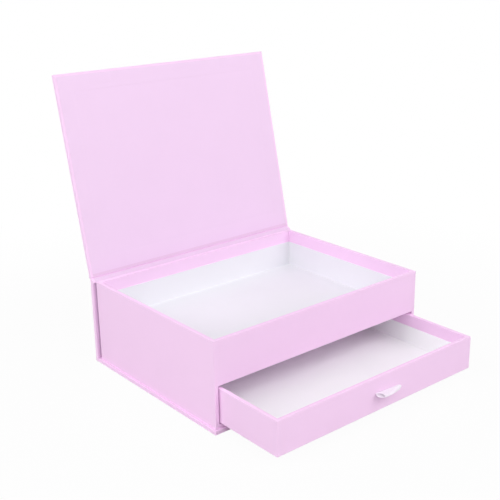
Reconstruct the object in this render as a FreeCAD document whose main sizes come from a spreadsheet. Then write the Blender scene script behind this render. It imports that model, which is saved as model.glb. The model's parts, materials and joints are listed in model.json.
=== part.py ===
import FreeCAD, Part
import os

import Sketcher

# Rigid paperboard gift box with a book-style cover and a drawer.
# A base board, a spine board and a lid board are joined by creased wrap paper. The box
# body stands on the base board: an open tray above and a drawer bay below it.
# Frame: millimetres, +Z up, the drawer opens towards -Y. The origin lies on the underside
# of the base, under the middle of the body. The lid is drawn open and the drawer pulled out.

SIZES = {
    # stock
    "board": 3.0,               # greyboard of the walls and of the cover
    "thin_board": 1.5,          # greyboard of the tray floor and the drawer bottom
    "paper": 0.15,              # wrap and lining paper
    "turn_in": 15.0,            # width of paper folded over an edge
    # body
    "body_width": 216.0,
    "body_depth": 160.0,
    "body_height": 70.0,
    "slot_height": 34.0,        # from the base board up to the lower edge of the front panel
    "tray_band": 11.0,          # coloured band left above the tray lining
    # cover
    "side_overhang": 2.0,       # cover boards past the body at each side
    "base_ledge": 2.0,          # base board past the front of the body
    "lid_overhang": 3.0,        # closed lid past the front of the body
    "spine_gap": 2.4,           # between the back of the body and the spine
    "lid_clearance": 0.4,       # between the rim and the closed lid
    "hinge_clearance": 0.3,     # between boards that turn against each other
    "lid_angle": 102.6,         # opening of the lid from closed, in degrees
    "liner_margin": 2.0,        # wrap left bare around the liner of the cover
    # magnets
    "magnet_length": 20.0,
    "magnet_width": 8.0,
    "magnet_thickness": 1.5,
    "magnet_side_inset": 42.0,  # from each side of the cover to a magnet's centre
    "lid_magnet_inset": 6.5,    # from the free edge of the lid to the magnet's centre
    "tray_magnet_drop": 2.0,    # from the top edge of the front panel to the magnet
    # drawer
    "drawer_side_gap": 0.7,
    "drawer_floor_gap": 1.2,
    "drawer_top_gap": 2.0,      # under the lower edge of the front panel
    "drawer_back_gap": 1.0,     # behind the closed drawer
    "drawer_pull": 63.0,        # how far the drawer is pulled out
    "drawer_turn_in": 12.0,     # width of paper folded over the rim of the drawer
    "drawer_band": 10.0,        # coloured band left above the drawer lining
    # ribbon pull
    "ribbon_width": 25.0,
    "ribbon_thickness": 0.3,
    "ribbon_reach": 8.0,        # loop in front of the drawer
    "ribbon_loop": 1.8,         # height of the flattened loop
    "ribbon_drop": 13.6,        # from the rim of the drawer down to the middle of the loop
    "ribbon_offset": 5.5,       # from the middle of the drawer towards +X
    "ribbon_tail_gap": 2.45,    # from the drawer's bottom up to the ribbon's glued ends
    "slit_clearance": 0.3,
}

os.makedirs("parts", exist_ok=True)
doc = FreeCAD.newDocument("drawer_gift_box")
sheet = doc.addObject("Spreadsheet::Sheet", "Sizes")
for row, (size_name, value) in enumerate(SIZES.items(), start=1):
    sheet.set(f"A{row}", str(value))
    sheet.setAlias(f"A{row}", size_name)
doc.recompute()


class Formula:
    """Text of an expression on the sheet, put together with ordinary arithmetic."""

    def __init__(self, text):
        self.text = str(text)

    def __str__(self):
        return self.text

    def __add__(self, other):
        return Formula(f"({self} + {other})")

    def __radd__(self, other):
        return Formula(f"({other} + {self})")

    def __sub__(self, other):
        return Formula(f"({self} - {other})")

    def __rsub__(self, other):
        return Formula(f"({other} - {self})")

    def __mul__(self, factor):
        return Formula(f"({self} * {factor})")

    __rmul__ = __mul__

    def __truediv__(self, divisor):
        return Formula(f"({self} / {divisor})")

    def __neg__(self):
        return Formula(f"(0 - {self})")


class Span:
    """A low and a high limit along one axis."""

    def __init__(self, low, high):
        self.low = low
        self.high = high

    def shrunk(self, amount):
        return Span(self.low + amount, self.high - amount)


def about(middle, width):
    """The span of a width centred on a place."""
    return Span(middle - width / 2, middle + width / 2)


def size(name):
    return Formula(f"Sizes.{name}")


ZERO = Formula(0)
LINE_START = 1
LINE_END = 2
SKETCH_ORIGIN = (-1, 1)


# ---------------------------------------------------------------- ways to build a piece

def new_body(name, label=None):
    body = doc.addObject("PartDesign::Body", name)
    body.Label = label or name
    return body


def sketch_on(body, role, name, level):
    """An empty sketch on one of the body's own origin planes, moved along the normal."""
    plane = next(item for item in body.Origin.OriginFeatures if item.Role == role)
    sketch = body.newObject("Sketcher::SketchObject", name)
    sketch.AttachmentSupport = [(plane, "")]
    sketch.MapMode = "FlatFace"
    sketch.setExpression("AttachmentOffset.Base.z", str(level))
    return sketch


def fix_point(sketch, line, point, across, along):
    """Dimension one end of a line from the origin of the sketch."""
    for kind, formula in (("DistanceX", across), ("DistanceY", along)):
        start = sketch.getPoint(line, point)
        guess = start.x if kind == "DistanceX" else start.y
        index = sketch.addConstraint(
            Sketcher.Constraint(kind, *SKETCH_ORIGIN, line, point, guess))
        sketch.setExpression(f"Constraints[{index}]", str(formula))


def add_rectangle(sketch, across, along, rank=0):
    """A rectangle held by its low and high corners; rank keeps nested guesses apart."""
    reach = 10.0 - rank
    corners = [FreeCAD.Vector(u * reach, v * reach, 0)
               for u, v in ((-1, -1), (1, -1), (1, 1), (-1, 1))]
    first = sketch.GeometryCount
    for index, corner in enumerate(corners):
        sketch.addGeometry(Part.LineSegment(corner, corners[(index + 1) % 4]), False)
    for index in range(4):
        sketch.addConstraint(Sketcher.Constraint(
            "Coincident", first + index, LINE_END, first + (index + 1) % 4, LINE_START))
        direction = "Horizontal" if index % 2 == 0 else "Vertical"
        sketch.addConstraint(Sketcher.Constraint(direction, first + index))
    fix_point(sketch, first, LINE_START, across.low, along.low)
    fix_point(sketch, first + 2, LINE_START, across.high, along.high)


def add_block(body, name, x, y, z, hollow=None):
    """Pad a rectangle from z.low to z.high. hollow is an (x, y) pair left open."""
    sketch = sketch_on(body, "XY_Plane", f"{name}_outline", z.low)
    add_rectangle(sketch, x, y)
    if hollow:
        add_rectangle(sketch, *hollow, rank=1)
    pad = body.newObject("PartDesign::Pad", f"{name}_pad")
    pad.Profile = sketch
    pad.setExpression("Length", str(z.high - z.low))
    return pad


def cut_block(body, name, x, y, z, island=None):
    """Pocket a rectangle from z.high down to z.low. island is an (x, y) pair left standing."""
    sketch = sketch_on(body, "XY_Plane", f"{name}_outline", z.high)
    add_rectangle(sketch, x, y)
    if island:
        add_rectangle(sketch, *island, rank=1)
    pocket = body.newObject("PartDesign::Pocket", f"{name}_pocket")
    pocket.Profile = sketch
    pocket.setExpression("Length", str(z.high - z.low))
    return pocket


def place_on_lid_hinge(body):
    """Put a piece drawn about the closed lid's hinge axis on that axis, and open it."""
    body.Placement = FreeCAD.Placement(
        FreeCAD.Vector(0, 0, 0), FreeCAD.Rotation(FreeCAD.Vector(-1, 0, 0), 1))
    body.setExpression("Placement.Rotation.Angle", str(size("lid_angle")))
    body.setExpression("Placement.Base.y", str(LID_AXIS_Y))
    body.setExpression("Placement.Base.z", str(LID_AXIS_Z))


def plain_board(name, x, y, z):
    body = new_body(name)
    add_block(body, name, x, y, z)
    return body


# ---------------------------------------------------------------- places shared by pieces

board = size("board")
thin_board = size("thin_board")
paper = size("paper")
papered_board = board + paper * 2

BASE = Span(ZERO, papered_board)
RIM = BASE.high + size("body_height")
BODY_X = about(ZERO, size("body_width"))
BODY_Y = about(ZERO, size("body_depth"))
CORE_X = BODY_X.shrunk(paper)                       # outer faces of the wall boards
CORE_Y = BODY_Y.shrunk(paper)
INNER_X = CORE_X.shrunk(board)                      # inner faces of the wall boards
INNER_Y = CORE_Y.shrunk(board)
SLOT_TOP = BASE.high + size("slot_height")
TRAY_FLOOR = Span(SLOT_TOP + paper, SLOT_TOP + paper + thin_board)

COVER_X = BODY_X.shrunk(-size("side_overhang"))
SPINE_Y = Span(BODY_Y.high + size("spine_gap"),
               BODY_Y.high + size("spine_gap") + papered_board)
SPINE_Z = Span(BASE.high + size("hinge_clearance"), RIM)
COVER_BACK = SPINE_Y.high - paper - size("hinge_clearance")    # base and closed lid end here
BASE_Y = Span(BODY_Y.low - size("base_ledge"), COVER_BACK)

# The lid turns about the outer face of the spine, level with the middle of the closed lid.
LID_AXIS_Y = SPINE_Y.high
LID_AXIS_Z = RIM + size("lid_clearance") + papered_board / 2
LID_Y = Span(BODY_Y.low - size("lid_overhang") - LID_AXIS_Y, COVER_BACK - LID_AXIS_Y)
LID_Z = about(ZERO, papered_board)

DRAWER_X = INNER_X.shrunk(paper + size("drawer_side_gap"))
DRAWER_FRONT = BODY_Y.low - size("drawer_pull")
DRAWER_LENGTH = INNER_Y.high - size("drawer_back_gap") - BODY_Y.low
DRAWER_Y = Span(DRAWER_FRONT, DRAWER_FRONT + DRAWER_LENGTH)
DRAWER_BOTTOM = BASE.high + board + size("drawer_floor_gap")
DRAWER_Z = Span(DRAWER_BOTTOM, SLOT_TOP - size("drawer_top_gap"))
DRAWER_CORE_X = DRAWER_X.shrunk(paper)
DRAWER_CORE_Y = DRAWER_Y.shrunk(paper)
DRAWER_CORE_Z = Span(DRAWER_Z.low + paper, DRAWER_Z.high - paper)
DRAWER_INNER_X = DRAWER_CORE_X.shrunk(board)
DRAWER_INNER_Y = DRAWER_CORE_Y.shrunk(board)
DRAWER_FLOOR_TOP = DRAWER_CORE_Z.low + thin_board

RIBBON_X = about(size("ribbon_offset"), size("ribbon_width"))
RIBBON_MIDDLE = DRAWER_Z.high - size("ribbon_drop")
RIBBON_Z = about(RIBBON_MIDDLE, size("ribbon_loop"))
SLIT_X = RIBBON_X.shrunk(-size("slit_clearance"))
SLIT_Z = RIBBON_Z.shrunk(-size("slit_clearance") / 2)
TAIL_Y = Span(DRAWER_INNER_Y.low, DRAWER_INNER_Y.low + size("ribbon_thickness"))
TAIL_Z = Span(DRAWER_FLOOR_TOP + size("ribbon_tail_gap"), RIBBON_Z.high)

MAGNET_SIDES = {"left": -1, "right": 1}


def magnet_x(sign):
    return about((COVER_X.high - size("magnet_side_inset")) * sign, size("magnet_length"))


# ---------------------------------------------------------------- base and body

def base_board():
    return plain_board("base_board", COVER_X.shrunk(paper), BASE_Y.shrunk(paper), BASE.shrunk(paper))


def base_wrap():
    """Paper round the base board, folded over its top by the width of a turn-in."""
    body = new_body("base_wrap")
    inside_x = COVER_X.shrunk(paper)
    inside_y = BASE_Y.shrunk(paper)
    add_block(body, "underside", COVER_X, BASE_Y, Span(BASE.low, BASE.low + paper))
    add_block(body, "edges", COVER_X, BASE_Y, Span(BASE.low + paper, BASE.high),
              hollow=(inside_x, inside_y))
    add_block(body, "base_fold", COVER_X, BASE_Y, Span(BASE.high - paper, BASE.high),
              hollow=(COVER_X.shrunk(size("turn_in")), BASE_Y.shrunk(size("turn_in"))))
    return body


def bay_floor():
    """Board at the bottom of the body that the drawer runs on."""
    return plain_board("bay_floor", INNER_X, Span(CORE_Y.low, INNER_Y.high),
                       Span(BASE.high, BASE.high + board))


def side_walls():
    height = Span(BASE.high, RIM - paper)
    return [plain_board("left_wall", Span(CORE_X.low, INNER_X.low), CORE_Y, height),
            plain_board("right_wall", Span(INNER_X.high, CORE_X.high), CORE_Y, height)]


def back_wall():
    return plain_board("back_wall", INNER_X, Span(INNER_Y.high, CORE_Y.high),
                       Span(BASE.high, RIM - paper))


def tray_magnet_z():
    top = RIM - paper - size("tray_magnet_drop")
    return Span(top - size("magnet_width"), top)


def front_panel():
    """Upper half of the front wall, above the drawer, with pockets for two magnets."""
    body = plain_board("front_panel", INNER_X, Span(CORE_Y.low, INNER_Y.low),
                       Span(SLOT_TOP + paper, RIM - paper))
    for side, sign in MAGNET_SIDES.items():
        cut_block(body, f"{side}_magnet", magnet_x(sign),
                  Span(INNER_Y.low - size("magnet_thickness"), INNER_Y.low), tray_magnet_z())
    return body


def tray_magnets():
    return [plain_board(f"tray_magnet_{side}", magnet_x(sign),
                        Span(INNER_Y.low - size("magnet_thickness"), INNER_Y.low), tray_magnet_z())
            for side, sign in MAGNET_SIDES.items()]


def tray_floor():
    """Thin board between the tray and the drawer bay."""
    return plain_board("tray_floor", INNER_X, INNER_Y, TRAY_FLOOR)


def body_wrap():
    """One sheet round the four walls, folded over the rim and round the drawer's mouth."""
    body = new_body("body_wrap")
    folded_x = INNER_X.shrunk(paper)
    folded_y = INNER_Y.shrunk(paper)
    mouth_z = Span(BASE.high + board, SLOT_TOP)
    add_block(body, "walls", BODY_X, BODY_Y, Span(BASE.high, RIM), hollow=(CORE_X, CORE_Y))
    add_block(body, "rim", BODY_X, BODY_Y, Span(RIM - paper, RIM), hollow=(folded_x, folded_y))
    add_block(body, "rim_fold", INNER_X, INNER_Y, Span(RIM - size("turn_in"), RIM),
              hollow=(folded_x, folded_y))
    cut_block(body, "mouth", INNER_X, Span(BODY_Y.low, CORE_Y.low), mouth_z)
    fold_y = Span(BODY_Y.low, BODY_Y.low + size("turn_in"))
    add_block(body, "left_fold", Span(INNER_X.low, folded_x.low), fold_y, mouth_z)
    add_block(body, "right_fold", Span(folded_x.high, INNER_X.high), fold_y, mouth_z)
    add_block(body, "upper_fold", INNER_X, fold_y, Span(SLOT_TOP, SLOT_TOP + paper))
    add_block(body, "lower_fold", INNER_X, fold_y, Span(mouth_z.low, mouth_z.low + paper))
    return body


def add_lining(body, x, y, z, fold_edge):
    """A lining of floor and walls. Above fold_edge it steps over the folded edge of the wrap."""
    step = fold_edge - paper
    add_block(body, "sheet", x, y, z)
    cut_block(body, "upper_hollow", x.shrunk(paper * 2), y.shrunk(paper * 2), Span(step, z.high))
    cut_block(body, "lower_hollow", x.shrunk(paper), y.shrunk(paper), Span(z.low + paper, step))
    cut_block(body, "lap", x, y, Span(fold_edge, z.high), island=(x.shrunk(paper), y.shrunk(paper)))


def tray_lining():
    body = new_body("tray_lining")
    add_lining(body, INNER_X, INNER_Y, Span(TRAY_FLOOR.high, RIM - size("tray_band")),
               RIM - size("turn_in"))
    return body


# ---------------------------------------------------------------- spine

def spine_board():
    return plain_board("spine_board", COVER_X.shrunk(paper), SPINE_Y.shrunk(paper), SPINE_Z)


def spine_wrap():
    """Paper over the spine. Its outer face runs down and up to the two hinge axes."""
    body = new_body("spine_wrap")
    outer_y = Span(SPINE_Y.high - paper, SPINE_Y.high)
    inner_y = Span(SPINE_Y.low, SPINE_Y.low + paper)
    add_block(body, "outer", COVER_X, outer_y, Span(BASE.low, LID_AXIS_Z - paper))
    ends = (Span(COVER_X.low, COVER_X.low + paper), Span(COVER_X.high - paper, COVER_X.high))
    margins = (Span(COVER_X.low, COVER_X.low + size("liner_margin")),
               Span(COVER_X.high - size("liner_margin"), COVER_X.high))
    for index in range(2):
        add_block(body, f"end_{index}", ends[index], SPINE_Y, SPINE_Z)
        add_block(body, f"margin_{index}", margins[index], inner_y, SPINE_Z)
    return body


def spine_liner():
    return plain_board("spine_liner", COVER_X.shrunk(size("liner_margin")),
                       Span(SPINE_Y.low, SPINE_Y.low + paper), SPINE_Z)


# ---------------------------------------------------------------- lid

def lid_magnet_y():
    return about(LID_Y.low + size("lid_magnet_inset"), size("magnet_width"))


def lid_magnet_z():
    inner_face = LID_Z.low + paper
    return Span(inner_face, inner_face + size("magnet_thickness"))


def lid_board():
    """Board of the lid, with two pockets in the face that closes on the tray."""
    body = plain_board("lid_board", COVER_X.shrunk(paper), LID_Y.shrunk(paper), LID_Z.shrunk(paper))
    for side, sign in MAGNET_SIDES.items():
        cut_block(body, f"{side}_magnet", magnet_x(sign), lid_magnet_y(), lid_magnet_z())
    place_on_lid_hinge(body)
    return body


def lid_magnets():
    magnets = [plain_board(f"lid_magnet_{side}", magnet_x(sign), lid_magnet_y(), lid_magnet_z())
               for side, sign in MAGNET_SIDES.items()]
    for magnet in magnets:
        place_on_lid_hinge(magnet)
    return magnets


def liner_y():
    return Span(LID_Y.low + size("liner_margin"), LID_Y.high)


def lid_wrap():
    """Paper round the lid board. A leaf of it runs on to the hinge axis."""
    body = new_body("lid_wrap")
    outer_z = Span(LID_Z.high - paper, LID_Z.high)
    inner_z = Span(LID_Z.low, LID_Z.low + paper)
    add_block(body, "edges", COVER_X, LID_Y, LID_Z,
              hollow=(COVER_X.shrunk(paper), LID_Y.shrunk(paper)))
    add_block(body, "outer", COVER_X, Span(LID_Y.low, ZERO), outer_z)
    add_block(body, "margin", COVER_X, LID_Y, inner_z,
              hollow=(COVER_X.shrunk(size("liner_margin")),
                      Span(liner_y().low, LID_Y.high - paper)))
    add_block(body, "leaf", COVER_X, Span(-paper, ZERO), Span(ZERO + paper, LID_Z.high))
    place_on_lid_hinge(body)
    return body


def lid_liner():
    body = plain_board("lid_liner", COVER_X.shrunk(size("liner_margin")),
                       Span(liner_y().low, LID_Y.high - paper),
                       Span(LID_Z.low, LID_Z.low + paper))
    place_on_lid_hinge(body)
    return body


# ---------------------------------------------------------------- drawer

def cut_slit(body, y):
    cut_block(body, "slit", SLIT_X, y, SLIT_Z)


def drawer_ends():
    front_y = Span(DRAWER_CORE_Y.low, DRAWER_INNER_Y.low)
    front = plain_board("drawer_front", DRAWER_INNER_X, front_y, DRAWER_CORE_Z)
    cut_slit(front, front_y)
    back = plain_board("drawer_back", DRAWER_INNER_X,
                       Span(DRAWER_INNER_Y.high, DRAWER_CORE_Y.high), DRAWER_CORE_Z)
    return [front, back]


def drawer_sides():
    return [plain_board("drawer_left", Span(DRAWER_CORE_X.low, DRAWER_INNER_X.low),
                        DRAWER_CORE_Y, DRAWER_CORE_Z),
            plain_board("drawer_right", Span(DRAWER_INNER_X.high, DRAWER_CORE_X.high),
                        DRAWER_CORE_Y, DRAWER_CORE_Z)]


def drawer_bottom():
    return plain_board("drawer_bottom", DRAWER_INNER_X, DRAWER_INNER_Y,
                       Span(DRAWER_CORE_Z.low, DRAWER_FLOOR_TOP))


def drawer_wrap():
    """Paper under and round the drawer, folded over its rim, with a slit for the ribbon."""
    body = new_body("drawer_wrap")
    folded = (DRAWER_INNER_X.shrunk(paper), DRAWER_INNER_Y.shrunk(paper))
    add_block(body, "underside", DRAWER_X, DRAWER_Y, Span(DRAWER_Z.low, DRAWER_CORE_Z.low))
    add_block(body, "walls", DRAWER_X, DRAWER_Y, DRAWER_Z, hollow=(DRAWER_CORE_X, DRAWER_CORE_Y))
    add_block(body, "rim", DRAWER_X, DRAWER_Y, Span(DRAWER_CORE_Z.high, DRAWER_Z.high),
              hollow=folded)
    add_block(body, "rim_fold", DRAWER_INNER_X, DRAWER_INNER_Y,
              Span(DRAWER_Z.high - size("drawer_turn_in"), DRAWER_Z.high), hollow=folded)
    cut_slit(body, Span(DRAWER_Y.low, DRAWER_CORE_Y.low))
    return body


def drawer_lining():
    """Lining of the drawer, raised where it covers the ends of the ribbon."""
    body = new_body("drawer_lining")
    add_lining(body, DRAWER_INNER_X, DRAWER_INNER_Y,
               Span(DRAWER_FLOOR_TOP, DRAWER_Z.high - size("drawer_band")),
               DRAWER_Z.high - size("drawer_turn_in"))
    add_block(body, "ribbon_cover", RIBBON_X.shrunk(-paper), Span(TAIL_Y.low, TAIL_Y.high + paper),
              TAIL_Z.shrunk(-paper))
    cut_block(body, "ribbon_recess", RIBBON_X, TAIL_Y, TAIL_Z)
    return body


def ribbon_pull():
    """Flattened ribbon loop through the slit, its ends glued down inside the drawer front."""
    body = new_body("ribbon_pull")
    sketch = sketch_on(body, "YZ_Plane", "loop_profile", RIBBON_X.low)
    radius = size("ribbon_loop") / 2
    add_tongue(sketch, radius, TAIL_Y.high, rank=0)
    add_tongue(sketch, radius - size("ribbon_thickness"), TAIL_Y.low, rank=1)
    pad = body.newObject("PartDesign::Pad", "loop_pad")
    pad.Profile = sketch
    pad.setExpression("Length", str(size("ribbon_width")))
    add_block(body, "tail", RIBBON_X, TAIL_Y, TAIL_Z)
    return body


def add_tongue(sketch, radius, inner_end, rank):
    """A closed outline with a round outer end and a flat inner end."""
    reach = 8.0 - rank
    height = 4.0 - rank
    first = sketch.GeometryCount
    lower = Part.LineSegment(FreeCAD.Vector(-reach, -height, 0), FreeCAD.Vector(reach, -height, 0))
    end = Part.LineSegment(FreeCAD.Vector(reach, -height, 0), FreeCAD.Vector(reach, height, 0))
    upper = Part.LineSegment(FreeCAD.Vector(reach, height, 0), FreeCAD.Vector(-reach, height, 0))
    nose = Part.Arc(FreeCAD.Vector(-reach, height, 0), FreeCAD.Vector(-reach - height, 0, 0),
                    FreeCAD.Vector(-reach, -height, 0))
    for curve in (lower, end, upper, nose):
        sketch.addGeometry(curve, False)
    sketch.addConstraint(Sketcher.Constraint("Coincident", first, LINE_END, first + 1, LINE_START))
    sketch.addConstraint(Sketcher.Constraint("Coincident", first + 1, LINE_END, first + 2, LINE_START))
    sketch.addConstraint(Sketcher.Constraint("Tangent", first + 2, LINE_END, first + 3, LINE_START))
    sketch.addConstraint(Sketcher.Constraint("Tangent", first + 3, LINE_END, first, LINE_START))
    sketch.addConstraint(Sketcher.Constraint("Horizontal", first))
    sketch.addConstraint(Sketcher.Constraint("Vertical", first + 1))
    sketch.addConstraint(Sketcher.Constraint("Horizontal", first + 2))
    fold = DRAWER_Y.low - size("ribbon_reach") + size("ribbon_loop") / 2
    fix_point(sketch, first, LINE_START, fold, RIBBON_MIDDLE - radius)
    fix_point(sketch, first + 2, LINE_START, inner_end, RIBBON_MIDDLE + radius)


# ---------------------------------------------------------------- build, check and write

def build():
    pieces = [base_board(), base_wrap(), bay_floor(), back_wall(), front_panel(), tray_floor(),
              body_wrap(), tray_lining(), spine_board(), spine_wrap(), spine_liner(), lid_board(),
              lid_wrap(), lid_liner(), drawer_bottom(), drawer_wrap(), drawer_lining(),
              ribbon_pull()]
    for group in (side_walls(), tray_magnets(), lid_magnets(), drawer_ends(), drawer_sides()):
        pieces.extend(group)
    return pieces


def check(pieces):
    for item in doc.Objects:
        if "Invalid" in item.State or "Error" in item.State:
            raise RuntimeError(f"{item.Name} failed: {item.State}")
    for piece in pieces:
        if piece.Shape.isNull() or not piece.Shape.isValid():
            raise RuntimeError(f"{piece.Label} has no valid shape")
        if len(piece.Shape.Solids) != 1:
            raise RuntimeError(f"{piece.Label} has {len(piece.Shape.Solids)} solids")


def write(pieces):
    for piece in pieces:
        piece.Shape.exportStep(os.path.join("parts", f"{piece.Label}.step"))
        print(f"{piece.Label}: {piece.Shape.Volume:.1f} mm3")


made = build()
doc.recompute()
check(made)
write(made)
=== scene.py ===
import json
import math

import bmesh
import bpy
from bpy.props import FloatProperty, FloatVectorProperty, IntProperty, PointerProperty
from mathutils import Matrix, Vector


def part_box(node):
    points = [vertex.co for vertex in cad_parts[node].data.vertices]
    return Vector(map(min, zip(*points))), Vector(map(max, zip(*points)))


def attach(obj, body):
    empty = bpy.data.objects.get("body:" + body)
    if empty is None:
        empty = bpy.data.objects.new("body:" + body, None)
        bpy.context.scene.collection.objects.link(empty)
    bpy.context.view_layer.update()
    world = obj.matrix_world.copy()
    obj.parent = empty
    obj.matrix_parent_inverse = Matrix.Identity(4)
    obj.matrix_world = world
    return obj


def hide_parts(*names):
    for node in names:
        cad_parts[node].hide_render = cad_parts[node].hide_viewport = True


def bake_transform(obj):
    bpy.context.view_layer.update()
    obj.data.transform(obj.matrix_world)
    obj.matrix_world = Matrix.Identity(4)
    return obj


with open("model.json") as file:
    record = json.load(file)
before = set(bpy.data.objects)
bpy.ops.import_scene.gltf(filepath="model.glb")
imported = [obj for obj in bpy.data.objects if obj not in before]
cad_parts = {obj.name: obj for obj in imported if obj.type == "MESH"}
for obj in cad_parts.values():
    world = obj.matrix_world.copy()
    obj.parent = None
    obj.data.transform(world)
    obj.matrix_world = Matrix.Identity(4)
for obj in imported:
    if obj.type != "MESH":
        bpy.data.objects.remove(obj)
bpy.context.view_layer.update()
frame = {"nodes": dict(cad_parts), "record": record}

bl_info = {
    "name": "Drawer gift box",
    "version": (1, 0, 0),
    "blender": (4, 5, 0),
    "location": "View3D > Sidebar > Gift box",
    "description": "Paper-wrapped board box with a book-style lid, a tray and a drawer",
    "category": "Object",
}

MM = 0.001
TURN_IN = 15 * MM           # width of the edge of a wrap that is folded in behind a board
MERGE_WITHIN = 0.003 * MM   # points closer than this are one point
ON_PLANE = 0.1 * MM         # a face within this distance of a plane lies on it
CREASE_TOP = 2.6 * MM       # height at which the lower crease's paper meets the spine's wrap
SMOOTH_BELOW = 40           # degrees: a gentler bend is shaded smooth


# ---------------------------------------------------------------- places read from the frame

def joint(name):
    return next(item for item in frame["record"]["behaviour"]["joints"] if item["name"] == name)


LID_AXIS = Vector(joint("lid_hinge")["pos_m"])
LID_ANGLE = -math.radians(joint("lid_hinge")["range_deg"][0])
OPEN_LID = Matrix.Translation(LID_AXIS) @ Matrix.Rotation(-LID_ANGLE, 4, "X")


def corners(node):
    """The two far corners of the box round a node."""
    low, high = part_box(node)
    return Vector(low), Vector(high)


def lid_corners(node):
    """Corners of a lid node with the lid closed, measured from its hinge axis."""
    close = OPEN_LID.inverted()
    places = [close @ vertex.co for vertex in frame["nodes"][node].data.vertices]
    return (Vector(min(p[i] for p in places) for i in range(3)),
            Vector(max(p[i] for p in places) for i in range(3)))


# ---------------------------------------------------------------- sizes and colours to change

class PaperProperties(bpy.types.PropertyGroup):
    """Thickness, folds and colours of the papers"""

    thickness: FloatProperty(
        name="Paper thickness", description="Thickness of the wrap and lining papers",
        default=0.15 * MM, min=0.05 * MM, max=0.5 * MM, unit="LENGTH", precision=5)
    fold_radius: FloatProperty(
        name="Fold radius", description="Rounding of the wrap over the edges of a board",
        default=0.35 * MM, min=0.1 * MM, max=1.0 * MM, unit="LENGTH", precision=5)
    fold_segments: IntProperty(
        name="Fold segments", description="Faces across each rounded fold", default=4, min=1, max=12)
    lining_radius: FloatProperty(
        name="Lining radius", description="Rounding of the lining in the inner corners",
        default=0.9 * MM, min=0.1 * MM, max=3.0 * MM, unit="LENGTH", precision=5)
    lining_card: FloatProperty(
        name="Lining card", description="Thickness of the white card of the tray and drawer lining",
        default=0.4 * MM, min=0.1 * MM, max=1.0 * MM, unit="LENGTH", precision=5)
    wrap_colour: FloatVectorProperty(
        name="Wrap colour", description="Pale pink of the wrap paper", subtype="COLOR", size=3,
        default=(0.920, 0.645, 0.895), min=0.0, max=1.0)
    # The liner's cooler tint and lower level, set apart from the wrap's pink, are painted light and shade:
    # they stand in for how light and reflections fall on the lid's inner face.
    liner_light_painted_colour: FloatVectorProperty(
        name="Liner colour", description="Slightly cooler pink inside the lid", subtype="COLOR", size=3,
        default=(0.855, 0.628, 0.856), min=0.0, max=1.0)
    # The tray's faint lilac is the lining's own colour, but its lower level is painted shade, set against
    # the light that falls on it from above.
    tray_shade_painted_colour: FloatVectorProperty(
        name="Tray colour", description="Faintly lilac white of the tray's lining", subtype="COLOR",
        size=3, default=(0.812, 0.812, 0.850), min=0.0, max=1.0)
    # The drawer's lining is lighter than the tray's: painted light, lifting the shade in the drawer under
    # the body.
    drawer_light_painted_colour: FloatVectorProperty(
        name="Drawer colour", description="White of the drawer's lining", subtype="COLOR", size=3,
        default=(0.970, 0.984, 0.998), min=0.0, max=1.0)
    board_colour: FloatVectorProperty(
        name="Board colour", description="Raw greyboard under the paper", subtype="COLOR", size=3,
        default=(0.40, 0.37, 0.33), min=0.0, max=1.0)


class RibbonProperties(bpy.types.PropertyGroup):
    """Shape and colour of the drawer's ribbon pull"""

    left_reach: FloatProperty(
        name="Left reach", description="How far the loop stands out at its left end",
        default=7.8 * MM, min=2 * MM, max=9 * MM, unit="LENGTH", precision=5)
    right_reach: FloatProperty(
        name="Right reach", description="How far the loop stands out at its right end",
        default=2.2 * MM, min=1 * MM, max=9 * MM, unit="LENGTH", precision=5)
    droop: FloatProperty(
        name="Droop", description="How far the loop hangs down at its right end",
        default=2.4 * MM, min=0.0, max=5 * MM, unit="LENGTH", precision=5)
    tilt: FloatProperty(
        name="Tilt", description="How much lower the loop sits at its right end",
        default=1.3 * MM, min=0.0, max=1.5 * MM, unit="LENGTH", precision=5)
    skew: FloatProperty(
        name="Skew", description="How far the upper layer is drawn to the right of the lower one",
        default=2.2 * MM, min=0.0, max=3 * MM, unit="LENGTH", precision=5)
    opening: FloatProperty(
        name="Opening", description="Space between the two layers at the loop's open left end",
        default=0.36 * MM, min=0.3 * MM, max=3 * MM, unit="LENGTH", precision=5)
    thickness: FloatProperty(
        name="Ribbon thickness", description="Thickness of the woven ribbon",
        default=0.28 * MM, min=0.1 * MM, max=0.5 * MM, unit="LENGTH", precision=5)
    colour: FloatVectorProperty(
        name="Ribbon colour", description="White of the ribbon", subtype="COLOR", size=3,
        default=(0.90, 0.84, 0.92), min=0.0, max=1.0)


class StudioProperties(bpy.types.PropertyGroup):
    """Lamps, sky and floor"""

    sky: FloatProperty(
        name="Sky strength", description="Even light from all round", default=0.10, min=0.0, max=3.0)
    front: FloatProperty(
        name="Front power", description="Soft light in front, at the right", default=23.6, min=0.0,
        max=500.0, unit="POWER")
    front_left: FloatProperty(
        name="Front left power", description="Soft light in front, at the left", default=18.0, min=0.0,
        max=500.0, unit="POWER")
    side: FloatProperty(
        name="Side power", description="Soft light at the left", default=33.0, min=0.0,
        max=500.0, unit="POWER")
    top: FloatProperty(
        name="Top power", description="Soft light high in front", default=10.0, min=0.0,
        max=500.0, unit="POWER")
    right: FloatProperty(
        name="Right power", description="Soft low light at the right", default=12.0, min=0.0,
        max=500.0, unit="POWER")
    back: FloatProperty(
        name="Back power", description="Soft low light behind", default=20.0, min=0.0,
        max=500.0, unit="POWER")
    floor_colour: FloatVectorProperty(
        name="Floor colour", description="Plain pale floor", subtype="COLOR", size=3,
        default=(0.66, 0.66, 0.66), min=0.0, max=1.0)


# ---------------------------------------------------------------- node trees

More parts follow.
